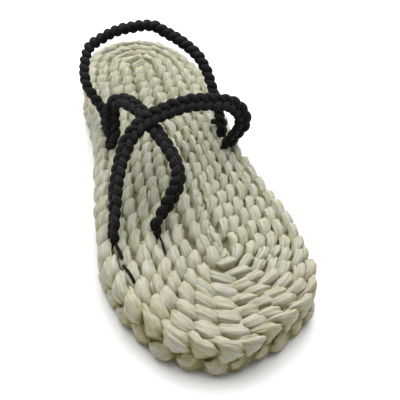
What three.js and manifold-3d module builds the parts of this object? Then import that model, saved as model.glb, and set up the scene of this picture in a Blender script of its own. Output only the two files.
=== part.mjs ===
// Waraji for the left foot: one husk plait coiled on edge into a sole, held on by black plaited straps.
// Millimetres, Z up, standing on z = 0. The toe points to -Y and the big toe side is -X.

import * as THREE from 'three';
import Module from 'manifold-3d';

const wasm = await Module();
wasm.setup();

// Driving sizes
const LENGTH = 255;
const THICKNESS = 24;
const TURNS = 7;
const CLEARANCE = 0.35;

// Outline of the sole: half widths at a share of the length from the toe
const OUTLINE = [
  { at: 0.035, medial: 27, lateral: 23 },
  { at: 0.12, medial: 45, lateral: 50 },
  { at: 0.25, medial: 54, lateral: 54 },
  { at: 0.40, medial: 52, lateral: 47 },
  { at: 0.55, medial: 45.5, lateral: 38.5 },
  { at: 0.70, medial: 41, lateral: 35.5 },
  { at: 0.85, medial: 40, lateral: 31.5 },
  { at: 0.965, medial: 29.5, lateral: 16.5 },
];
const TOE_TIP_X = -2;
const HEEL_TIP_X = -4;
const OUTLINE_STEPS = 720;

// The coil starts along a straight spine, whose toe end hooks towards the outer side of the foot
const SPINE_TOE = { x: 2, y: -67 };
const SPINE_HEEL = { x: -3.5, y: 95 };
const SPINE_HOOK = { reach: 6, length: 22 };
const SPINE_SLIT = 0.15;

// Relief of one plait, seen on its top edge and on its outer face
const LOBE_SPACING = 10.5;
const LOBE_DIP = 1.8;
const ROW_SHOULDERS = { inner: 0.28, outer: 0.72 };
const TOP_GROOVE = 3.5;
const FLOOR_GROOVE = 2.5;
const SIDE_SEAM = 2.4;
const SIDE_DIP = 1.7;
const SIDE_LOOPS = [
  { height: 0.82, start: 0 },
  { height: 0.57, start: 1 },
  { height: 0.50, seam: true },
  { height: 0.43, start: 1 },
  { height: 0.13, start: 0, leansBack: true },
];

// Straps: plaited cord, flat over the foot and round behind the heel, let into the grooves of the sole
const CORD = { swelling: 0.1, step: 3, plugLength: 30 };
const FLAT_CORD = { width: 10, depth: 6 };
const ROUND_CORD = { width: 6.4, depth: 6.2 };
const CORD_SECTION = [
  { across: 1, through: 0 },
  { across: 0.6, through: 1 },
  { across: 0, through: 0.9 },
  { across: -0.6, through: 1 },
  { across: -1, through: 0 },
  { across: -0.6, through: -1 },
  { across: 0, through: -0.9 },
  { across: 0.6, through: -1 },
];
const SOCKET_FLOOR = 13.5;

// Each strap runs from one socket to the other and lies flat around a line through the foot,
// which leans back with height so that the strap faces forwards on the slope of the instep.
// The outer end of the instep strap turns its face forwards, by an angle over a share of its length.
const INSTEP_STRAP = {
  cord: FLAT_CORD,
  footLine: { x: 0, z: 20, lean: 0.6 },
  twist: { from: 0.72, to: 0.84, angle: -60 },
  route: [
    { x: -46, y: -46, z: SOCKET_FLOOR },
    { x: -46, y: -46, z: 20 },
    { x: -46, y: -44.5, z: 27.5 },
    { x: -44, y: -36.5, z: 33 },
    { x: -42.5, y: -27.5, z: 38 },
    { x: -39.5, y: -18, z: 42 },
    { x: -36, y: -9, z: 46 },
    { x: -32, y: -2.5, z: 50 },
    { x: -27.5, y: 2, z: 53.5 },
    { x: -21.5, y: 6.5, z: 56 },
    { x: -9, y: 11, z: 58.5 },
    { x: 4.5, y: 14, z: 60 },
    { x: 18.5, y: 16.5, z: 57.5 },
    { x: 29, y: 19, z: 53.5 },
    { x: 36, y: 19, z: 47 },
    { x: 38, y: 17.5, z: 40 },
    { x: 35, y: 18, z: 32 },
    { x: 31, y: 18.5, z: 24 },
    { x: 31, y: 18.5, z: SOCKET_FLOOR },
  ],
};
const TOE_LOOP = {
  cord: FLAT_CORD,
  footLine: { x: -30, z: 25, lean: 0.3 },
  route: [
    { x: -23, y: -42.5, z: SOCKET_FLOOR },
    { x: -23, y: -42.5, z: 20 },
    { x: -22.5, y: -42, z: 26.5 },
    { x: -19, y: -39, z: 31.5 },
    { x: -14, y: -34.5, z: 37 },
    { x: -9, y: -27.5, z: 42.5 },
    { x: -8.5, y: -18.5, z: 46.5 },
    { x: -11.5, y: -7.5, z: 49.5 },
    { x: -16.5, y: 5.5, z: 52 },
    { x: -20.5, y: 17.5, z: 53 },
    { x: -26, y: 28, z: 52.5 },
    { x: -29, y: 33.5, z: 50 },
    { x: -33.5, y: 36.5, z: 45 },
    { x: -34.5, y: 33, z: 36 },
    { x: -34.5, y: 28.5, z: 28 },
    { x: -36, y: 28, z: 21 },
    { x: -36, y: 28, z: SOCKET_FLOOR },
  ],
};
const HEEL_STRAP = {
  cord: ROUND_CORD,
  footLine: { x: -3, y: 50 },
  route: [
    { x: -35.5, y: 41, z: SOCKET_FLOOR },
    { x: -35.5, y: 41, z: 20 },
    { x: -36, y: 41.5, z: 28 },
    { x: -37, y: 44.5, z: 34 },
    { x: -40.5, y: 49, z: 39 },
    { x: -44.5, y: 54.5, z: 43.5 },
    { x: -45.5, y: 63.5, z: 48 },
    { x: -43, y: 74, z: 52 },
    { x: -39.5, y: 80, z: 54.5 },
    { x: -34.5, y: 83, z: 56 },
    { x: -24.5, y: 86.5, z: 59 },
    { x: -13, y: 88, z: 60.5 },
    { x: -1, y: 87.5, z: 60.5 },
    { x: 5, y: 83, z: 59 },
    { x: 13, y: 74.5, z: 57.5 },
    { x: 20.5, y: 63.5, z: 55 },
    { x: 24, y: 54.5, z: 51 },
    { x: 25.5, y: 47.5, z: 47 },
    { x: 27, y: 41, z: 41.5 },
    { x: 28.5, y: 33.5, z: 34 },
    { x: 29.5, y: 29.5, z: 28 },
    { x: 30, y: 29, z: 21 },
    { x: 30, y: 29, z: SOCKET_FLOOR },
  ],
};

// Outline and coil

function makeOutline() {
  const lateral = OUTLINE.map((row) => new THREE.Vector3(row.lateral, (row.at - 0.5) * LENGTH, 0));
  const medial = OUTLINE.map((row) => new THREE.Vector3(-row.medial, (row.at - 0.5) * LENGTH, 0));
  const toeTip = new THREE.Vector3(TOE_TIP_X, -LENGTH / 2, 0);
  const heelTip = new THREE.Vector3(HEEL_TIP_X, LENGTH / 2, 0);
  const curve = new THREE.CatmullRomCurve3([toeTip, ...lateral, heelTip, ...medial.reverse()], true);
  curve.arcLengthDivisions = OUTLINE_STEPS;
  return curve;
}

const outline = makeOutline();

// The point of the spine that is level with a point of the outline, or the nearer end of the spine
function spinePoint(edge) {
  const y = THREE.MathUtils.clamp(edge.y, SPINE_TOE.y, SPINE_HEEL.y);
  const straight = THREE.MathUtils.mapLinear(y, SPINE_TOE.y, SPINE_HEEL.y, SPINE_TOE.x, SPINE_HEEL.x);
  const unhooked = THREE.MathUtils.smoothstep(y, SPINE_TOE.y, SPINE_TOE.y + SPINE_HOOK.length);
  return new THREE.Vector3(straight + SPINE_HOOK.reach * (1 - unhooked), y, 0);
}

// A point of the coil: turn 0 is the spine, turn TURNS the outline, and inset moves it inwards
function coilPoint(turn, around, inset = 0) {
  const edge = outline.getPointAt(around);
  const spine = spinePoint(edge);
  const spoke = edge.sub(spine);
  spoke.setLength(spoke.length() * turn / TURNS - inset);
  return spine.add(spoke);
}

// Places around the outline that are evenly spaced along one turn, two for each lobe
function lobePlaces(turn) {
  const lengths = [0];
  let last = coilPoint(turn, 0);
  for (let i = 1; i <= OUTLINE_STEPS; i += 1) {
    const next = coilPoint(turn, i / OUTLINE_STEPS);
    lengths.push(lengths[i - 1] + next.distanceTo(last));
    last = next;
  }
  const total = lengths[OUTLINE_STEPS];
  const count = 2 * Math.round(total / LOBE_SPACING);
  const places = [];
  let i = 0;
  for (let k = 0; k < count; k += 1) {
    const target = k * total / count;
    while (lengths[i + 1] <= target) i += 1;
    const part = (target - lengths[i]) / (lengths[i + 1] - lengths[i]);
    places.push((i + part) / OUTLINE_STEPS);
  }
  return places;
}

// Sole: loops that run out over the top, down the side and back in underneath

function loop(places, place) {
  return { places, points: places.map(place) };
}

function everySecond(places) {
  return places.filter((_, i) => i % 2 === 0);
}

function topLoops(rows) {
  const loops = [];
  rows.forEach((places, row) => {
    const low = THICKNESS - LOBE_DIP;
    const height = (i, start) => ((i + start) % 2 === 0 ? THICKNESS : low);
    const innerTurn = row + ROW_SHOULDERS.inner;
    const outerTurn = row + ROW_SHOULDERS.outer;
    const groove = row === 0 ? SPINE_SLIT : row;
    const groovePlaces = everySecond(places);
    loops.push(loop(groovePlaces, (u) => coilPoint(groove, u).setZ(THICKNESS - TOP_GROOVE)));
    loops.push(loop(places, (u, i) => coilPoint(innerTurn, u).setZ(height(i, 0))));
    loops.push(loop(places, (u, i) => coilPoint(outerTurn, u).setZ(height(i, 1))));
  });
  return loops;
}

function sideLoops(places) {
  return SIDE_LOOPS.map(({ height, start, seam, leansBack }) => {
    const inset = (i) => ((i + start) % 2 === 0 ? 0 : SIDE_DIP);
    const place = (u, i) => coilPoint(TURNS, u, seam ? SIDE_SEAM : inset(i)).setZ(height * THICKNESS);
    return { ...loop(places, place), leansBack };
  });
}

function floorLoops(rows) {
  const loops = [];
  for (let row = TURNS - 1; row >= 0; row -= 1) {
    const places = everySecond(rows[row]);
    const groove = row === 0 ? SPINE_SLIT : row;
    loops.push(loop(places, (u) => coilPoint(row + ROW_SHOULDERS.outer, u)));
    loops.push(loop(places, (u) => coilPoint(row + ROW_SHOULDERS.inner, u)));
    loops.push(loop(places, (u) => coilPoint(groove, u).setZ(FLOOR_GROOVE)));
  }
  return loops;
}

// Triangles between two neighbouring loops, stepping along whichever is behind.
// Where both are level the next loop steps first, so lobes lean forwards, or last, so they lean back.
function stitch(from, to, faces) {
  const placeOf = (ring, i) => ring.places[i % ring.places.length] + Math.floor(i / ring.places.length);
  const idOf = (ring, i) => ring.first + i % ring.places.length;
  let a = 0;
  let b = 0;
  while (a < from.places.length || b < to.places.length) {
    const lead = placeOf(from, a + 1) - placeOf(to, b + 1);
    const level = lead === 0 && !to.leansBack;
    const toBehind = b < to.places.length && (lead > 0 || level);
    if (toBehind || a === from.places.length) {
      faces.push(idOf(from, a), idOf(to, b), idOf(to, b + 1));
      b += 1;
    } else {
      faces.push(idOf(from, a), idOf(to, b), idOf(from, a + 1));
      a += 1;
    }
  }
}

function closeLoop(ring, facesUp, faces) {
  const flat = ring.points.map((p) => new THREE.Vector2(p.x, p.y));
  for (const [a, b, c] of THREE.ShapeUtils.triangulateShape(flat, [])) {
    const ids = facesUp ? [a, b, c] : [a, c, b];
    faces.push(...ids.map((id) => id + ring.first));
  }
}

function makeSole() {
  const rows = Array.from({ length: TURNS }, (_, row) => lobePlaces(row + 0.5));
  const loops = [...topLoops(rows), ...sideLoops(rows[TURNS - 1]), ...floorLoops(rows)];
  const points = [];
  const faces = [];
  for (const ring of loops) {
    ring.first = points.length;
    points.push(...ring.points);
  }
  loops.slice(1).forEach((ring, i) => stitch(loops[i], ring, faces));
  closeLoop(loops[0], true, faces);
  closeLoop(loops[loops.length - 1], false, faces);
  return makeSolid(points, faces);
}

// Straps: the cord's section swept along a route, its lobes swelling left and right in turn

function routeFrames(strap) {
  const curve = new THREE.CatmullRomCurve3(strap.route.map(({ x, y, z }) => new THREE.Vector3(x, y, z)));
  const count = Math.round(curve.getLength() / CORD.step);
  const frames = [];
  for (let i = 0; i <= count; i += 1) {
    const centre = curve.getPointAt(i / count);
    const tangent = curve.getTangentAt(i / count);
    const { x, y = centre.y, z = centre.z, lean = 0 } = strap.footLine;
    const through = centre.clone().sub(new THREE.Vector3(x, y + lean * (centre.z - z), z));
    through.addScaledVector(tangent, -through.dot(tangent)).normalize();
    if (strap.twist) {
      const { from, to, angle } = strap.twist;
      const share = THREE.MathUtils.smoothstep(i / count, from, to);
      through.applyAxisAngle(tangent, -THREE.MathUtils.degToRad(angle) * share);
    }
    const across = new THREE.Vector3().crossVectors(through, tangent);
    frames.push({ centre, tangent, across, through });
  }
  return frames;
}

function sweep(frames, cord, swelling, grow) {
  const sides = CORD_SECTION.length;
  const points = [];
  const faces = [];
  frames.forEach(({ centre, across, through }, i) => {
    for (const corner of CORD_SECTION) {
      const swell = 1 + swelling * Math.sign(corner.across) * (i % 2 === 0 ? 1 : -1);
      const a = corner.across * (cord.width / 2 * swell + grow);
      const t = corner.through * (cord.depth / 2 * swell + grow);
      points.push(centre.clone().addScaledVector(across, a).addScaledVector(through, t));
    }
  });
  for (let i = 0; i < frames.length - 1; i += 1) {
    for (let k = 0; k < sides; k += 1) {
      const a = i * sides + k;
      const b = i * sides + (k + 1) % sides;
      faces.push(a, b, b + sides, a, b + sides, a + sides);
    }
  }
  const last = (frames.length - 1) * sides;
  for (let k = 1; k < sides - 1; k += 1) {
    faces.push(0, k + 1, k, last, last + k, last + k + 1);
  }
  return makeSolid(points, faces);
}

function makeStrap(strap) {
  return sweep(routeFrames(strap), strap.cord, CORD.swelling, 0);
}

// The sockets of a strap: its two ends, grown by the clearance all round and past their tips
function makeSockets(strap) {
  const frames = routeFrames(strap);
  const reach = Math.round(CORD.plugLength / CORD.step);
  const grow = CORD.swelling * strap.cord.width / 2 + CLEARANCE;
  const lengthen = (frame, distance) => {
    frame.centre.addScaledVector(frame.tangent, distance);
  };
  lengthen(frames[0], -CLEARANCE);
  lengthen(frames[frames.length - 1], CLEARANCE);
  const ends = [frames.slice(0, reach), frames.slice(-reach)];
  return ends.map((end) => sweep(end, strap.cord, 0, grow));
}

// Solids and scene

function makeSolid(points, faces) {
  const vertProperties = new Float32Array(points.flatMap((p) => [p.x, p.y, p.z]));
  const triVerts = new Uint32Array(faces);
  return new wasm.Manifold(new wasm.Mesh({ numProp: 3, vertProperties, triVerts }));
}

function addMesh(group, name, solid, look) {
  const { vertProperties, triVerts } = solid.getMesh();
  const geometry = new THREE.BufferGeometry();
  geometry.setAttribute('position', new THREE.BufferAttribute(vertProperties, 3));
  geometry.setIndex(new THREE.BufferAttribute(triVerts, 1));
  geometry.computeVertexNormals();
  const mesh = new THREE.Mesh(geometry, new THREE.MeshStandardMaterial(look));
  mesh.name = name;
  group.add(mesh);
}

const HUSK = { color: 0xa9a691, roughness: 0.8, metalness: 0 };
const BLACK_COTTON = { color: 0x1f1f1d, roughness: 0.9, metalness: 0 };

const waraji = new THREE.Group();
let sole = makeSole();
for (const strap of [INSTEP_STRAP, TOE_LOOP, HEEL_STRAP]) {
  for (const socket of makeSockets(strap)) sole = sole.subtract(socket);
}
addMesh(waraji, 'sole_coiled_plait', sole, HUSK);
addMesh(waraji, 'upper_toe_instep_straps', makeStrap(INSTEP_STRAP).add(makeStrap(TOE_LOOP)), BLACK_COTTON);
addMesh(waraji, 'upper_heel_strap', makeStrap(HEEL_STRAP), BLACK_COTTON);

export default waraji;
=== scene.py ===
"""Looks of the waraji: a husk plait coiled on edge into a sole, and black plaited cotton straps.

Shapes are worked out in millimetres, in the frame of the CAD model, and become metres in new_piece.
"""

import math

import bpy
import numpy as np
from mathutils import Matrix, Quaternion, Vector


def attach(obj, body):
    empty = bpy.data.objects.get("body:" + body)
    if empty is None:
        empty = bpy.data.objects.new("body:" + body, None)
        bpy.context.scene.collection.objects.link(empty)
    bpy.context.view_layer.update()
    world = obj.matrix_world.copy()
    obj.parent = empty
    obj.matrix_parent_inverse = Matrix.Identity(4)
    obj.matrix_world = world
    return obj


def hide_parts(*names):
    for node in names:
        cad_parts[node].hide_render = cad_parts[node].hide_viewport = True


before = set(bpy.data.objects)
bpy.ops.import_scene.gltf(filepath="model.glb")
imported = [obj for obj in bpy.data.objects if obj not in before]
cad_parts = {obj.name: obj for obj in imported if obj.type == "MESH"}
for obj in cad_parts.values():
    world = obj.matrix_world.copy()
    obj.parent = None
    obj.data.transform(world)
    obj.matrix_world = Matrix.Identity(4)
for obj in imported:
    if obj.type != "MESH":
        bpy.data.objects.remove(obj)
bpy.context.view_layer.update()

MM = 0.001
RANDOM = np.random.default_rng(7)

# Sole, as in the part's source: half widths on both sides, at shares of the length from the toe
LENGTH = 255
THICKNESS = 24
TURNS = 7
OUTLINE = {
    "at": (0.035, 0.12, 0.25, 0.40, 0.55, 0.70, 0.85, 0.965),
    "medial": (27, 45, 54, 52, 45.5, 41, 40, 29.5),
    "lateral": (23, 50, 54, 47, 38.5, 35.5, 31.5, 16.5),
}
TOE_TIP_X = -2
HEEL_TIP_X = -4
SPINE_TOE = (2, -67)
SPINE_HEEL = (-3.5, 102)
SPINE_HOOK = {"reach": 6, "length": 22}

# Two inner turns fade out where the sole grows narrower, each between two places along it
SHORT_TURNS = {"fade_y": ((5, 50), (30, 75)), "stub": 0.3}
ROW_MOST = 9.0
INNERMOST_SHIFT = 0.22

# The coil jogs out by one row on the outer side of the toes. It ends there, in a slight last jog
JOG_END = 0.175
JOG_WIDTH = 0.055
LAST_JOG = 0.1
COIL_START = 0.06
COIL_STEPS = 1500
ROWS_INSET = 0.975

# Pieces of the coil, each with the turn that it starts at
OUTER_PIECE = "sole_outer_turn"
SOLE_PIECES = {
    "sole_first_turns": 0,
    "sole_inner_turns": 2,
    "sole_middle_turns": 4,
    OUTER_PIECE: TURNS - 1,
}
# A husk core deep in the coil, seen through the gaps between strands and dark with painted shade
CORE = {"turn": TURNS - 0.55, "heights": (4.5, 19.5), "sides": 120}

# Husk plait: in one period each of its strands makes a lobe on the top and one underneath.
# The period changes along the sole, and the one in HUSK only paces how uneven the strands are.
STRANDS = 3
PERIOD_AT = {"y": (-110, -65, 0, 70, 115), "period": (37, 31, 29, 24.5, 20)}
INNER_TOE_PERIOD = 0.8
BIG_TOE_PERIOD = 1.16
TIGHT_START = {"length": (50, 110), "period": 0.62, "more_ragged": 2.5}
TAPER = {"length": 24, "tip": 0.35}
HUSK = {
    "period": 29.5,
    "spacing": 1.2,
    "sides": 36,
    "half_height": 12.0,
    "flat_from": 7.0,
    "flat_by": 0.041,
    "ragged": 1.4,
}

# Shape of a strand: swings of its middle line, half width and half thickness, and how they change.
# Up and down is in millimetres, across the row in row widths. The columns are regions of the sole:
# along the sole, along its big toe side, round the toe, at the edge of the toe, at the heel.
HUSK_SHAPE = {
    "tall_swing": (6.6, 6.6, 7.2, 6.6, 6.6),
    "half_wide": (5.8, 6.3, 5.5, 6.2, 5.3),
    "out_swing": (0.35, 0.25, 0.36, 0.29, 0.33),
    "half_thick": (0.35, 0.355, 0.4, 0.35, 0.42),
    "flat_top": (0.0, 0.05, 0.0, 0.06, 0.0),
    "swell": (0.12, 0.08, 0.2, 0.0, 0.12),
    "lead": (0.25, 0.15, 0.25, 0.2, 0.2),
    "fan": (0.55, 0.42, 0.45, 0.2, 0.46),
    "lift": (0.3, 0.14, 0.25, 0.05, 0.3),
    "squareness": (0.8, 0.8, 0.82, 0.7, 0.9),
    "crease": (0.3, 0.3, 0.28, 0.42, 0.25),
    "crumple": (0.14, 0.14, 0.12, 0.2, 0.14),
}

# Where the regions begin and where they are reached in full
TOE_Y = (-65, -100)
TOE_EDGE_TURN = (TURNS - 1.2, TURNS - 0.7)
HEEL_Y = (40, 80)
BIG_TOE_X = (-8, -22)
BIG_TOE_Y = (10, -20)
INNER_TOE_Y = (-45, -80)
INNER_TOE_TURN = (TURNS - 1, TURNS - 2.2)

# Unevenness of the strands
STRAND_WANDER = {"tall": 0.05, "out": 0.07, "wide": 0.1, "thick": 0.12}
PHASE_WANDER = {"spacing": 60, "reach": 0.5}
CREASE_SETS = {"count": (3, 6, 9), "share": (0.45, 0.35, 0.2)}
CREASE = {"lobes": 1.5, "drift": 2.0, "sharpness": 1.5}
DENTS = {"count": 7, "spacing": 2.6}

# What the materials read from a strand: a tint for each lobe, and how far a point stands out, which sets
# their painted shade
TINT = {"least": 0.1, "lobe": 0.4, "toe": 0.5}
OUTER_FACE = {"gain": 1.2, "sunk": 0.52, "less_below": 0.3}

# Cords of the straps, with rows that are 1 mm wide, so that every size is in millimetres
CORD = {
    "period": 16.5,
    "spacing": 0.6,
    "sides": 14,
    "half_height": 5.0,
    "tall_swing": 3.0,
    "half_wide": 1.9,
    "out_swing": 0.75,
    "half_thick": 1.7,
    "flat_top": 0.0,
    "swell": 0.2,
    "lead": 0.0,
    "fan": 0.0,
    "lift": 0.0,
    "squareness": 0.9,
    "crease": 0.04,
    "crumple": 0.0,
    "flat_from": 100.0,
    "flat_by": 0.0,
    "ragged": 1.0,
}
HEEL_CORD = {
    **CORD,
    "period": 14.5,
    "tall_swing": 1.8,
    "half_wide": 1.4,
    "out_swing": 1.15,
    "half_thick": 1.85,
}

# Straps, as in the part's source: each turns its flat side to a line through the foot,
# and twists by an angle in degrees between two shares of its length
SOCKET_FLOOR = 13.5
INSTEP_STRAP = {
    "foot_line": {"x": 0, "y": None, "z": 20, "lean": 0.6},
    "twist": {"between": (0.72, 0.84), "angle": -60},
    "route": (
        (-46, -46, SOCKET_FLOOR), (-46, -46, 20), (-46, -44.5, 27.5), (-44, -36.5, 33),
        (-42.5, -27.5, 38), (-39.5, -18, 42), (-36, -9, 46), (-32, -2.5, 50),
        (-27.5, 2, 53.5), (-21.5, 6.5, 56), (-9, 11, 58.5), (4.5, 14, 60),
        (18.5, 16.5, 57.5), (29, 19, 53.5), (36, 19, 47), (38, 17.5, 40),
        (35, 18, 32), (31, 18.5, 24), (31, 18.5, SOCKET_FLOOR),
    ),
}
TOE_LOOP = {
    "foot_line": {"x": -30, "y": None, "z": 25, "lean": 0.3},
    "twist": {"between": (0, 1), "angle": 0},
    "route": (
        (-23, -42.5, SOCKET_FLOOR), (-23, -42.5, 20), (-22.5, -42, 26.5), (-19, -39, 31.5),
        (-14, -34.5, 37), (-9, -27.5, 42.5), (-8.5, -18.5, 46.5), (-11.5, -7.5, 49.5),
        (-16.5, 5.5, 52), (-20.5, 17.5, 53), (-26, 28, 52.5), (-29, 33.5, 50),
        (-33.5, 36.5, 45), (-34.5, 33, 36), (-34.5, 28.5, 28), (-36, 28, 21),
        (-36, 28, SOCKET_FLOOR),
    ),
}
HEEL_STRAP = {
    "foot_line": {"x": -3, "y": 50, "z": None, "lean": 0},
    "twist": {"between": (0, 1), "angle": 0},
    "route": (
        (-35.5, 41, SOCKET_FLOOR), (-35.5, 41, 20), (-36, 41.5, 28), (-37, 44.5, 34),
        (-40.5, 49, 39), (-44.5, 54.5, 43.5), (-45.5, 63.5, 48), (-43, 74, 52),
        (-39.5, 80, 54.5), (-34.5, 83, 56), (-24.5, 86.5, 59), (-13, 88, 60.5),
        (-1, 87.5, 60.5), (5, 83, 59), (13, 74.5, 57.5), (20.5, 63.5, 55),
        (24, 54.5, 51), (25.5, 47.5, 47), (27, 41, 41.5), (28.5, 33.5, 34),
        (29.5, 29.5, 28), (30, 29, 21), (30, 29, SOCKET_FLOOR),
    ),
}

# Ends of black thread that lie in the grooves by the straps' feet
THREAD = {"sides": 10, "spacing": 0.4, "fray": 0.2, "fray_spacing": 2}
THREAD_ENDS = (
    {
        "radius": 0.9,
        "route": ((-46, -47.5, 23), (-45.9, -50, 23.4), (-44.3, -59.6, 23.4), (-43.9, -63, 21)),
    },
    {
        "radius": 0.9,
        "route": ((-44, -64, 21), (-43.9, -67.6, 23.6), (-41.2, -76.4, 23.4), (-40.5, -78, 20)),
    },
    {
        "radius": 0.6,
        "route": ((-23.1, -42.5, 23.4), (-21.6, -54, 23.4), (-21.4, -58.4, 21)),
    },
    {
        "radius": 1.5,
        "route": ((29.5, 32, 27), (27.5, 35.5, 27), (25.5, 37.5, 26)),
    },
)

# Noise in the materials, with its scales per millimetre: along a strand, then across it.
# The strands of a plait lie far apart in it, so that no two look alike.
STRANDS_APART = 1000
NOISE = {"Scale": 1.0, "Detail": 3.0, "Roughness": 0.6}
HUSK_FIBRES = (0.08, 2.2, 2.2)
HUSK_BLOTCHES = (0.3, 0.5, 0.5)
CORD_FUZZ = (1.2, 1.4, 1.4)
YARN_TWIST = {"along": 4.0, "around": 6.0}

# Colour sockets of a Mix node, whose other sockets have the same names
MIX_A = 6
MIX_B = 7
MIX_RESULT = 2

# Studio, in metres and watts
FLOOR_SIZE = 6
WORLD_STRENGTH = 0.32
LIGHT_AIM = (0, 0, 0.02)
LIGHTS = {
    "key": {"place": (0.1, 0.6, 1.1), "size": 2.0, "power": 45},
    "fill": {"place": (-0.8, 0.0, 0.8), "size": 0.8, "power": 1},
}

# Camera, placed and rolled as the photograph's, but aimed at this shoe
CAMERA_PLACE = (-122.8, -452.7, 442.3)
CAMERA_AIM = (4.8, -24.9, 24.0)
CAMERA_ROLL = math.radians(5.9)
CAMERA_LENS = 101.5
CAMERA_SENSOR = 36


# Curves

def catmull_rom(points, closed=False, steps=40):
    """A smooth curve through the points, spaced by the square root of their distance."""
    p = np.asarray(points, float)
    if closed:
        p = np.vstack([p[-1:], p, p[:2]])
    else:
        p = np.vstack([2 * p[:1] - p[1:2], p, 2 * p[-1:] - p[-2:-1]])
    t = np.linspace(0, 1, steps, endpoint=False)[:, None]
    pieces = []
    for a, b, c, d in zip(p, p[1:], p[2:], p[3:]):
        ab, bc, cd = (np.linalg.norm(q - r) ** 0.5 for q, r in ((b, a), (c, b), (d, c)))
        lead = ((b - a) / ab - (c - a) / (ab + bc) + (c - b) / bc) * bc
        tail = ((c - b) / bc - (d - b) / (bc + cd) + (d - c) / cd) * bc
        square = 3 * (c - b) - 2 * lead - tail
        cube = 2 * (b - c) + lead + tail
        pieces.append(b + lead * t + square * t**2 + cube * t**3)
    return np.vstack(pieces + [p[-2:-1]])


def lengths_along(points):
    """The length of a curve up to each of its points."""
    steps = np.linalg.norm(np.diff(points, axis=0), axis=1)
    return np.concatenate([[0], np.cumsum(steps)])


def column_at(places, known_places, columns):
    """Each column of a table, read at new places."""
    return np.stack([np.interp(places, known_places, c) for c in columns.T], axis=1)


def even_route(route, spacing):
    """A smooth curve through a route, evenly sampled: lengths, points and directions."""
    curve = catmull_rom(route)
    length = lengths_along(curve)
    even = np.arange(0, length[-1], spacing)
    centre = column_at(even, length, curve)
    return even, centre, unit(np.gradient(centre, axis=0))


def unit(vectors):
    """The same directions at unit length."""
    return vectors / np.linalg.norm(vectors, axis=1, keepdims=True)


def across(vectors, directions):
    """The part of each vector that is square to its direction, at unit length."""
    along = np.sum(vectors * directions, axis=1, keepdims=True)
    return unit(vectors - along * directions)


def smooth_step(x):
    """From 0 to 1 without corners."""
    x = np.clip(x, 0, 1)
    return x * x * (3 - 2 * x)


def fade(values, limits):
    """From 0 at the first limit to 1 at the second, without corners."""
    start, stop = limits
    return smooth_step((values - start) / (stop - start))


def wander(length, spacing, reach):
    """A smooth random course along a length, between -reach and reach."""
    knots = np.arange(0, length[-1] + 2 * spacing, spacing)
    values = RANDOM.uniform(-reach, reach, len(knots))
    place = length / spacing
    low = np.floor(place).astype(int)
    part = smooth_step(place - low)
    return values[low] * (1 - part) + values[low + 1] * part


# Coil

def outline_table():
    """The outline of the sole, from the tip of the toe round its outer side, and shares of its length."""
    y = (np.array(OUTLINE["at"]) - 0.5) * LENGTH
    lateral = np.stack([OUTLINE["lateral"], y], axis=1)
    medial = np.stack([-np.array(OUTLINE["medial"]), y], axis=1)[::-1]
    toe_tip = [(TOE_TIP_X, -LENGTH / 2)]
    heel_tip = [(HEEL_TIP_X, LENGTH / 2)]
    edge = catmull_rom(np.vstack([toe_tip, lateral, heel_tip, medial]), closed=True)
    length = lengths_along(edge)
    return edge, length / length[-1]


EDGE, EDGE_SHARE = outline_table()


def turns_ended(y):
    """How many of the inner turns have faded out, this far along the sole."""
    return sum(fade(y, limits) for limits in SHORT_TURNS["fade_y"])


def turn_stops(turn):
    """How far towards the heel a turn runs."""
    y = np.linspace(SPINE_TOE[1], SPINE_HEEL[1], 400)
    always_rising = np.linspace(0, 1e-6, len(y))
    return np.interp(turn + 0.5 - SHORT_TURNS["stub"], turns_ended(y) + always_rising, y)


def coil_points(turn, around):
    """Points of the coil, their spokes, and the row's share of them: turn TURNS is the outline."""
    edge = column_at(around % 1, EDGE_SHARE, EDGE)
    y = np.clip(edge[:, 1], SPINE_TOE[1], turn_stops(turn))
    x = np.interp(y, (SPINE_TOE[1], SPINE_HEEL[1]), (SPINE_TOE[0], SPINE_HEEL[0]))
    hook_y = (SPINE_TOE[1], SPINE_TOE[1] + SPINE_HOOK["length"])
    x += SPINE_HOOK["reach"] * (1 - fade(y, hook_y))
    spine = np.stack([x, y], axis=1)
    spoke = edge - spine
    ended = turns_ended(y)
    inner = np.maximum(turn - 0.5, 0)
    faded = np.maximum(ended - inner, 0)
    innermost = np.clip(1 - inner + ended, 0, 1)
    row_number = turn + faded / 2 - ended - INNERMOST_SHIFT * innermost
    share = row_number / (TURNS - ended) * ROWS_INSET
    return spine + spoke * share[:, None], spoke, (1 - faded) / (TURNS - ended)


def coil_path():
    """The plait's middle line from the spine to its end, with its frame and its row's width."""
    around = np.arange(-COIL_START * COIL_STEPS, TURNS * COIL_STEPS) / COIL_STEPS
    lap = np.floor(np.maximum(around, 0))
    jog = fade(around - lap, (1 - JOG_WIDTH, 1))
    jog[lap == TURNS - 1] *= LAST_JOG
    turn = lap + 0.5 * fade(around, (-COIL_START, 0)) + jog
    flat, _, _ = coil_points(turn, around + JOG_END)
    length = lengths_along(flat)
    even = np.arange(0, length[-1], HUSK["spacing"])
    turn = np.interp(even, length, turn)
    around = np.interp(even, length, around)
    flat, spoke, share = coil_points(turn, around + JOG_END)
    tangent = unit(np.gradient(flat, axis=0))
    out = np.stack([tangent[:, 1], -tangent[:, 0]], axis=1)
    row = np.minimum(np.abs(np.sum(spoke * out, axis=1)) * share, ROW_MOST)
    zero = np.zeros(len(even))
    return {
        "length": even,
        "turn": turn,
        "centre": np.column_stack([flat, zero + THICKNESS / 2]),
        "tall": np.column_stack([zero, zero, zero + 1]),
        "out": np.column_stack([out, zero]),
        "row": row,
    }


# Plaits

def as_column(size):
    """A size of a strand, or its sizes at each ring, as a column beside the points of a ring."""
    return np.reshape(size, (-1, 1))


def all_round(values, sides):
    """A value for each ring, repeated at each of its points."""
    return np.repeat(values[:, None], sides, axis=1)


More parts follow.
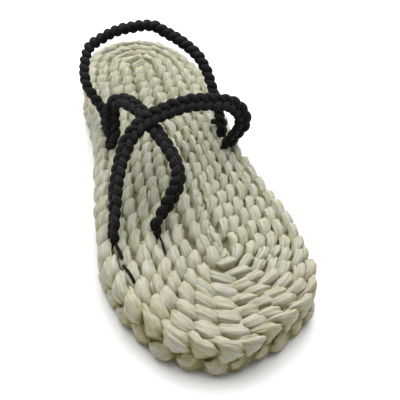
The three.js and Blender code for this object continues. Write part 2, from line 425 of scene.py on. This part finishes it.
def flattened(heights, size):
    """Heights from the middle of the plait, pressed together towards its edges."""
    beyond = np.maximum(np.abs(heights) - size["flat_from"], 0)
    return heights - np.sign(heights) * size["flat_by"] * beyond**2


def creased(theta, length, size):
    """How the folds of a strand draw in its section: sets of creases that drift along it."""
    spacing = CREASE["lobes"] * size["period"] / STRANDS
    shrink = np.ones((len(length), len(theta)))
    for count, share in zip(CREASE_SETS["count"], CREASE_SETS["share"]):
        drift = wander(length, spacing, CREASE["drift"])
        wave = np.abs(np.sin(count * theta[None, :] / 2 + drift[:, None]))
        shrink -= as_column(size["crease"]) * share * (1 - wave) ** CREASE["sharpness"]
    return shrink


def crumpled(theta, length, size):
    """Dents and bulges of a strand, about a fold wide."""
    count = DENTS["count"]
    around = theta / (2 * math.pi) * count
    near = np.floor(around).astype(int)
    part = smooth_step(around - near)
    ridges = np.stack([wander(length, DENTS["spacing"], 1.0) for _ in range(count)], axis=1)
    bulge = ridges[:, near] * (1 - part) + ridges[:, (near + 1) % count] * part
    return 1 + as_column(size["crumple"]) * bulge


def rounded(theta, squareness):
    """The two coordinates of a rounded section: the lower its squareness, the boxier it is."""
    power = as_column(squareness)
    return [np.sign(wave) * np.abs(wave) ** power for wave in (np.cos(theta), np.sin(theta))]


def strand_line(path, size, angle, scale, row):
    """The middle line of a strand: up and down once in a period, and across the row twice."""
    lobe_length = size["period"] / STRANDS
    tall_wander = wander(path["length"], lobe_length, STRAND_WANDER["tall"]) * size["ragged"]
    out_wander = wander(path["length"], lobe_length, STRAND_WANDER["out"]) * size["ragged"]
    twice = np.sin(2 * angle)
    wave = (np.sin(angle) + size["flat_top"] * np.sin(3 * angle)) / (1 - size["flat_top"])
    tall = size["tall_swing"] * scale * (1 + tall_wander) * wave * (1 - size["lift"] * twice)
    out = (out_wander - size["out_swing"] * twice * scale) * row
    return path["centre"] + path["tall"] * tall[:, None] + path["out"] * out[:, None]


def strand_section(path, size, angle, scale, row):
    """How far a strand's points lie from its middle line, along its width and its thickness.

    It swells at the edges of the plait, and is wider and thicker past an edge than before it.
    """
    theta = np.linspace(0, 2 * math.pi, size["sides"], endpoint=False)
    lobe_length = size["period"] / STRANDS
    twice = np.sin(2 * angle)
    swell = 1 - size["swell"] * np.cos(2 * angle)
    wide = size["half_wide"] * (swell - size["lead"] * twice) * scale
    thick = size["half_thick"] * (swell - size["fan"] * twice) * scale * row
    wide *= 1 + wander(path["length"], lobe_length, STRAND_WANDER["wide"])
    thick *= 1 + wander(path["length"], lobe_length, STRAND_WANDER["thick"])
    fold = creased(theta, path["length"], size)
    fold *= crumpled(theta, path["length"], size)
    round_wide, round_thick = rounded(theta, size["squareness"])
    return wide[:, None] * round_wide * fold, thick[:, None] * round_thick * fold


def plait_strand(path, size, phase, number, scale, row):
    """One strand: it runs over an edge of the plait to the outer face, then dives under the next."""
    angle = phase + number * 2 * math.pi / STRANDS
    line = strand_line(path, size, angle, scale, row)
    wide, thick = strand_section(path, size, angle, scale, row)
    tangent = unit(np.gradient(line, axis=0))
    thick_axis = across(path["out"], tangent)
    wide_axis = np.cross(tangent, thick_axis)
    away = (line - path["centre"])[:, None, :] + wide_axis[:, None, :] * wide[..., None]
    away += thick_axis[:, None, :] * thick[..., None]
    height = np.sum(away * path["tall"][:, None, :], axis=2)
    pressed = flattened(height, size)
    away += path["tall"][:, None, :] * (pressed - height)[..., None]
    lobe = np.floor(angle / math.pi).astype(int)
    tints = RANDOM.uniform(0, 1, lobe.max() - lobe.min() + 1)
    along = lengths_along(line) + number * STRANDS_APART
    return {
        "points": path["centre"][:, None, :] + away,
        "tall_share": pressed / size["half_height"],
        "out_share": np.sum(away * path["out"][:, None, :], axis=2) / (row[:, None] / 2),
        "tint": all_round(tints[lobe - lobe.min()], size["sides"]),
        "rest": np.stack([all_round(along, size["sides"]), wide, thick], axis=2),
    }


def plait_strands(path, size, phase, scale, row):
    """The strands of a plait, a part of its period apart."""
    return [plait_strand(path, size, phase, number, scale, row) for number in range(STRANDS)]


# Meshes

def tube_faces(rings, sides, first):
    """Faces of a tube that is closed at both ends, and whose points start at an index."""
    ring, side = np.meshgrid(np.arange(rings - 1), np.arange(sides), indexing="ij")
    a = first + ring * sides + side
    b = first + ring * sides + (side + 1) % sides
    walls = np.stack([a, b, b + sides, a + sides], axis=2).reshape(-1, 4).tolist()
    last = first + (rings - 1) * sides
    start_cap = list(range(first + sides - 1, first - 1, -1))
    end_cap = list(range(last, last + sides))
    return walls + [start_cap, end_cap]


def new_piece(name, points, faces, material):
    """A mesh object from points in millimetres."""
    mesh = bpy.data.meshes.new(name)
    mesh.from_pydata((points * MM).tolist(), [], faces)
    mesh.materials.append(material)
    piece = bpy.data.objects.new(name, mesh)
    bpy.context.scene.collection.objects.link(piece)
    return piece


def strand_piece(name, strands, exposed, material):
    """One smooth piece of closed strands above the floor, with what its material reads at each point."""
    faces = []
    first = 0
    for strand in strands:
        rings, sides = strand["points"].shape[:2]
        faces += tube_faces(rings, sides, first)
        first += rings * sides
    points = np.vstack([s["points"].reshape(-1, 3) for s in strands])
    points[:, 2] = np.maximum(points[:, 2], 0)
    piece = new_piece(name, points, faces, material)
    mesh = piece.data
    mesh.polygons.foreach_set("use_smooth", [True] * len(mesh.polygons))
    for key, values in (("tint", [s["tint"] for s in strands]), ("exposed", exposed)):
        layer = mesh.attributes.new(key, "FLOAT", "POINT")
        layer.data.foreach_set("value", np.concatenate([v.ravel() for v in values]))
    layer = mesh.attributes.new("rest", "FLOAT_VECTOR", "POINT")
    layer.data.foreach_set("vector", np.concatenate([s["rest"].ravel() for s in strands]))
    return piece


# Sole

def region_shares(path):
    """How far the plait is in each region, at each place along it."""
    x, y, _ = path["centre"].T
    return {
        "toe": fade(y, TOE_Y),
        "toe_edge": fade(path["turn"], TOE_EDGE_TURN),
        "heel": fade(y, HEEL_Y),
        "big_toe": fade(x, BIG_TOE_X) * fade(y, BIG_TOE_Y),
        "inner_toe": fade(y, INNER_TOE_Y) * fade(path["turn"], INNER_TOE_TURN),
        "loose": fade(path["length"], TIGHT_START["length"]),
    }


def husk_sizes(share):
    """Sizes of the plait at each place along it, blended from those of the regions."""
    size = dict(HUSK)
    for key, (along, big_toe_side, round_toe, toe_edge, heel) in HUSK_SHAPE.items():
        along = along + (big_toe_side - along) * share["big_toe"]
        toe = round_toe + (toe_edge - round_toe) * share["toe_edge"]
        size[key] = along + (toe - along) * share["toe"] + (heel - along) * share["heel"]
    size["ragged"] += TIGHT_START["more_ragged"] * (1 - share["loose"])
    return size


def husk_phase(path, share):
    """The plait's phase along its path, from its period in each region."""
    period = np.interp(path["centre"][:, 1], PERIOD_AT["y"], PERIOD_AT["period"])
    period *= TIGHT_START["period"] + (1 - TIGHT_START["period"]) * share["loose"]
    period *= 1 + (INNER_TOE_PERIOD - 1) * share["inner_toe"]
    period *= 1 + (BIG_TOE_PERIOD - 1) * share["big_toe"]
    phase = np.cumsum(2 * math.pi * HUSK["spacing"] / period)
    return phase + wander(path["length"], PHASE_WANDER["spacing"], PHASE_WANDER["reach"])


def coil_strands(path):
    """The strands of the coil from its start to its tapered end, with more tint towards the toe."""
    share = region_shares(path)
    phase = husk_phase(path, share)
    from_end = path["length"][-1] - path["length"]
    scale = TAPER["tip"] + (1 - TAPER["tip"]) * fade(from_end, (0, TAPER["length"]))
    strands = plait_strands(path, husk_sizes(share), phase, scale, path["row"])
    least = TINT["least"] + TINT["toe"] * share["toe"][:, None]
    for strand in strands:
        strand["tint"] = least + TINT["lobe"] * strand["tint"]
    return strands


def stretch(strands, start, stop):
    """The same strands between two samples of their path."""
    return [{key: values[start:stop] for key, values in s.items()} for s in strands]


def outer_face(strand):
    """How far a point stands out of the side of the sole, less towards the floor."""
    below = np.maximum(-strand["tall_share"], 0)
    side = OUTER_FACE["gain"] * strand["out_share"] - OUTER_FACE["sunk"]
    return side - OUTER_FACE["less_below"] * below


def coil_exposed(name, strand):
    """How far a point stands out of the gaps between the turns: about 1 on the faces of the sole."""
    if name == OUTER_PIECE:
        return np.maximum(strand["tall_share"], outer_face(strand))
    return np.abs(strand["tall_share"])


def make_coil(material):
    """The coiled plait, in pieces that share the ring where they meet."""
    path = coil_path()
    strands = coil_strands(path)
    starts = [np.searchsorted(path["turn"], turn) for turn in SOLE_PIECES.values()]
    stops = [start + 1 for start in starts[1:]] + [len(path["turn"])]
    for name, start, stop in zip(SOLE_PIECES, starts, stops):
        part = stretch(strands, start, stop)
        piece = strand_piece(name, part, [coil_exposed(name, s) for s in part], material)
        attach(piece, "root")
        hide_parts("sole_coiled_plait")


def make_core(material):
    """Husk deep inside the coil, seen only through the gaps between strands, coloured dark as painted
    shade.
    """
    around = np.linspace(0, 1, CORE["sides"], endpoint=False)
    flat, _, _ = coil_points(np.full(len(around), CORE["turn"]), around)
    rings = [np.column_stack([flat, np.full(len(flat), height)]) for height in CORE["heights"]]
    core = new_piece("sole_core", np.vstack(rings), tube_faces(len(rings), len(flat), 0), material)
    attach(core, "root")


# Straps

def strap_path(strap):
    """A strap's middle line, with a frame whose out axis points away from the foot."""
    even, centre, tangent = even_route(strap["route"], CORD["spacing"])
    line = strap["foot_line"]
    y = centre[:, 1] if line["y"] is None else np.full(len(even), line["y"])
    z = centre[:, 2] if line["z"] is None else np.full(len(even), line["z"])
    back = y + line["lean"] * (centre[:, 2] - z)
    inside = np.column_stack([np.full(len(even), line["x"]), back, z])
    out = across(centre - inside, tangent)
    tall = np.cross(out, tangent)
    share = fade(even / even[-1], strap["twist"]["between"])
    angle = (math.radians(strap["twist"]["angle"]) * share)[:, None]
    turned = out * np.cos(angle) + tall * np.sin(angle)
    return {"length": even, "centre": centre, "tall": np.cross(turned, tangent), "out": turned}


def make_straps(name, straps, size, nodes, material):
    """One piece of one or more plaited cords, which stands for the nodes."""
    strands = []
    for strap in straps:
        path = strap_path(strap)
        ones = np.ones(len(path["length"]))
        phase = 2 * math.pi * path["length"] / size["period"]
        strands += plait_strands(path, size, phase, ones, ones)
    exposed = [np.maximum(np.abs(s["tall_share"]), np.abs(s["out_share"])) for s in strands]
    piece = strand_piece(name, strands, exposed, material)
    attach(piece, "root")
    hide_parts(*nodes)


def thread_strand(thread):
    """One frayed end of thread."""
    even, centre, tangent = even_route(thread["route"], THREAD["spacing"])
    up = across(np.tile((0.0, 0.0, 1.0), (len(even), 1)), tangent)
    side = np.cross(tangent, up)
    theta = np.linspace(0, 2 * math.pi, THREAD["sides"], endpoint=False)
    frayed = thread["radius"] * (1 + wander(even, THREAD["fray_spacing"], THREAD["fray"]))
    y = frayed[:, None] * np.cos(theta)
    z = frayed[:, None] * np.sin(theta)
    return {
        "points": centre[:, None, :] + side[:, None, :] * y[..., None] + up[:, None, :] * z[..., None],
        "tint": np.zeros(y.shape),
        "rest": np.stack([all_round(even, THREAD["sides"]), y, z], axis=2),
    }


def make_threads(material):
    """All the ends of thread as one piece."""
    strands = [thread_strand(thread) for thread in THREAD_ENDS]
    exposed = [np.ones(s["tint"].shape) for s in strands]
    piece = strand_piece("thread_ends", strands, exposed, material)
    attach(piece, "root")


# Materials

def new_material(name):
    """A material, its node tree and its shader."""
    material = bpy.data.materials.new(name)
    material.use_nodes = True
    tree = material.node_tree
    return material, tree, tree.nodes["Principled BSDF"]


def set_inputs(tree, node, inputs):
    """Set each input of a node to a value, or link it to another node's socket."""
    for key, value in inputs.items():
        if isinstance(value, bpy.types.NodeSocket):
            tree.links.new(value, node.inputs[key])
        else:
            node.inputs[key].default_value = value


def add_node(tree, kind, inputs, **settings):
    """A node with its settings and its inputs."""
    node = tree.nodes.new(kind)
    for key, value in settings.items():
        setattr(node, key, value)
    set_inputs(tree, node, inputs)
    return node


def add_ramp(tree, source, stops):
    """A colour ramp with a stop at each (place, colour)."""
    node = add_node(tree, "ShaderNodeValToRGB", {"Fac": source})
    elements = node.color_ramp.elements
    while len(elements) < len(stops):
        elements.new(0.5)
    for element, (place, colour) in zip(elements, stops):
        element.position = place
        element.color = (*colour, 1)
    return node.outputs["Color"]


def attribute(tree, name, output):
    """What a mesh holds for its material at each point."""
    return add_node(tree, "ShaderNodeAttribute", {}, attribute_name=name).outputs[output]


def stretched_noise(tree, rest, scale):
    """Noise drawn out along a strand."""
    mapped = add_node(tree, "ShaderNodeMapping", {"Vector": rest, "Scale": scale})
    inputs = {**NOISE, "Vector": mapped.outputs["Vector"]}
    return add_node(tree, "ShaderNodeTexNoise", inputs).outputs["Fac"]


def add_math(tree, operation, *inputs):
    """A Math node of sockets and numbers."""
    return add_node(tree, "ShaderNodeMath", dict(enumerate(inputs)), operation=operation).outputs[0]


def multiplied(tree, colour, *shades):
    """A colour multiplied by one shade after another."""
    for shade in shades:
        inputs = {"Factor": 1.0, MIX_A: colour, MIX_B: shade}
        node = add_node(tree, "ShaderNodeMix", inputs, data_type="RGBA", blend_type="MULTIPLY")
        colour = node.outputs[MIX_RESULT]
    return colour


def add_bump(tree, **inputs):
    """A bumpy surface: its height, its strength, its depth in metres, and a surface under it if any."""
    return add_node(tree, "ShaderNodeBump", inputs).outputs["Normal"]


def husk_colour(tree, rest, fibres):
    """Pale husk: a tint for each lobe, darker fibres, greener blotches, and painted shade, darker and
    yellower, in the notches and gaps between lobes.
    """
    lobe_colour = add_ramp(tree, attribute(tree, "tint", "Fac"), (
        (0.0, (0.47, 0.475, 0.40)),
        (0.3, (0.50, 0.495, 0.435)),
        (0.6, (0.515, 0.5, 0.443)),
        (1.0, (0.48, 0.44, 0.365)),
    ))
    fibre_shade = add_ramp(tree, fibres, (
        (0.3, (0.72, 0.70, 0.62)),
        (0.65, (1.0, 1.0, 1.0)),
    ))
    blotch_shade = add_ramp(tree, stretched_noise(tree, rest, HUSK_BLOTCHES), (
        (0.33, (0.74, 0.76, 0.52)),
        (0.48, (0.94, 0.94, 0.87)),
        (0.66, (1.02, 1.0, 1.02)),
    ))
    # Painted shade: darker and yellower where a point lies deep in the gaps between lobes and turns, and
    # low on the side of the sole
    painted_recess_shade = add_ramp(tree, attribute(tree, "exposed", "Fac"), (
        (0.4, (0.55, 0.52, 0.3)),
        (0.6, (0.92, 0.91, 0.62)),
        (0.78, (1.0, 1.0, 0.88)),
        (0.95, (1.0, 1.0, 1.0)),
    ))
    return multiplied(tree, lobe_colour, fibre_shade, blotch_shade, painted_recess_shade)


def husk_material():
    """Dry husk with fine fibres along each strand, and a little light passing through it."""
    material, tree, shader = new_material("dry_husk")
    rest = attribute(tree, "rest", "Vector")
    fibres = stretched_noise(tree, rest, HUSK_FIBRES)
    set_inputs(tree, shader, {
        "Base Color": husk_colour(tree, rest, fibres),
        "Normal": add_bump(tree, Height=fibres, Strength=1.0, Distance=0.0008),
        "Roughness": 0.62,
        "Specular IOR Level": 0.35,
        "Subsurface Weight": 0.25,
        "Subsurface Radius": (1.0, 0.9, 0.6),
        "Subsurface Scale": 0.002,
    })
    return material


def core_material():
    """Mottled husk, darkened as painted shade deep in the gaps."""
    material, tree, shader = new_material("husk_core_painted_shade")
    mottle = add_node(tree, "ShaderNodeTexNoise", {"Scale": 250.0, "Detail": 3.0}).outputs["Fac"]
    # Painted shade: the core is dark so that the gaps between strands look shaded
    colour = add_ramp(tree, mottle, (
        (0.3, (0.09, 0.08, 0.045)),
        (0.7, (0.17, 0.15, 0.09)),
    ))
    set_inputs(tree, shader, {"Base Color": colour, "Roughness": 0.9})
    return material


def twisted_yarn(tree, rest):
    """Ridges of the yarns, which wind round each strand of a cord."""
    split = add_node(tree, "ShaderNodeSeparateXYZ", {"Vector": rest}).outputs
    turn = add_math(tree, "ARCTAN2", split["Y"], split["Z"])
    along = add_math(tree, "MULTIPLY", split["X"], YARN_TWIST["along"])
    around = add_math(tree, "MULTIPLY", turn, YARN_TWIST["around"])
    return add_math(tree, "SINE", add_math(tree, "ADD", along, around))


def cord_material():
    """Matt black cotton with twisted yarns and fuzz, and painted shade between the strands."""
    material, tree, shader = new_material("black_cotton")
    rest = attribute(tree, "rest", "Vector")
    fuzz = stretched_noise(tree, rest, CORD_FUZZ)
    fuzz_colour = add_ramp(tree, fuzz, (
        (0.35, (0.0004, 0.0004, 0.0004)),
        (0.65, (0.010, 0.010, 0.010)),
    ))
    # Painted shade: darker where a point lies deep between the strands of a cord
    painted_recess_shade = add_ramp(tree, attribute(tree, "exposed", "Fac"), (
        (0.4, (0.5, 0.5, 0.5)),
        (0.8, (1.0, 1.0, 1.0)),
    ))
    yarns = add_bump(tree, Height=twisted_yarn(tree, rest), Strength=0.5, Distance=0.0003)
    set_inputs(tree, shader, {
        "Base Color": multiplied(tree, fuzz_colour, painted_recess_shade),
        "Normal": add_bump(tree, Height=fuzz, Strength=0.3, Distance=0.0003, Normal=yarns),
        "Roughness": 0.8,
        "Specular IOR Level": 0.2,
    })
    return material


def floor_material():
    """Plain pale floor."""
    material, tree, shader = new_material("pale_floor")
    set_inputs(tree, shader, {"Base Color": (0.94, 0.94, 0.94, 1), "Roughness": 0.8})
    return material


# Stage

def make_floor(material):
    """A wide, plain floor."""
    bpy.ops.mesh.primitive_plane_add(size=FLOOR_SIZE)
    floor = bpy.context.object
    floor.name = "floor"
    floor.data.materials.append(material)


def add_area_light(name, place, size, power):
    """A square light that shines on the shoe."""
    light = bpy.data.lights.new(name, "AREA")
    light.size = size
    light.energy = power
    lamp = bpy.data.objects.new(name, light)
    lamp.location = place
    lamp.rotation_euler = (Vector(LIGHT_AIM) - Vector(place)).to_track_quat("-Z", "Y").to_euler()
    bpy.context.scene.collection.objects.link(lamp)


def make_light():
    """Even white light from all round, with a broad key light from behind and a weak fill light."""
    world = bpy.data.worlds.new("soft_studio")
    world.use_nodes = True
    background = world.node_tree.nodes["Background"]
    background.inputs["Color"].default_value = (1, 1, 1, 1)
    background.inputs["Strength"].default_value = WORLD_STRENGTH
    bpy.context.scene.world = world
    for name, light in LIGHTS.items():
        add_area_light(name, **light)
    bpy.context.scene.view_settings.view_transform = "Standard"


def make_camera():
    """The photograph's view of this shoe."""
    camera = bpy.data.cameras.new("camera")
    camera.sensor_width = CAMERA_SENSOR
    camera.lens = CAMERA_LENS
    eye = bpy.data.objects.new("camera", camera)
    place = Vector(CAMERA_PLACE) * MM
    aim = Vector(CAMERA_AIM) * MM
    turn = (aim - place).to_track_quat("-Z", "Y")
    eye.location = place
    eye.rotation_euler = (turn @ Quaternion((0, 0, 1), CAMERA_ROLL)).to_euler()
    bpy.context.scene.collection.objects.link(eye)
    bpy.context.scene.camera = eye


make_camera()
make_light()
make_floor(floor_material())
make_coil(husk_material())
make_core(core_material())
black = cord_material()
make_straps("toe_and_instep_cords", (INSTEP_STRAP, TOE_LOOP), CORD, ("upper_toe_instep_straps",), black)
make_threads(black)
make_straps("heel_cord", (HEEL_STRAP,), HEEL_CORD, ("upper_heel_strap",), black)
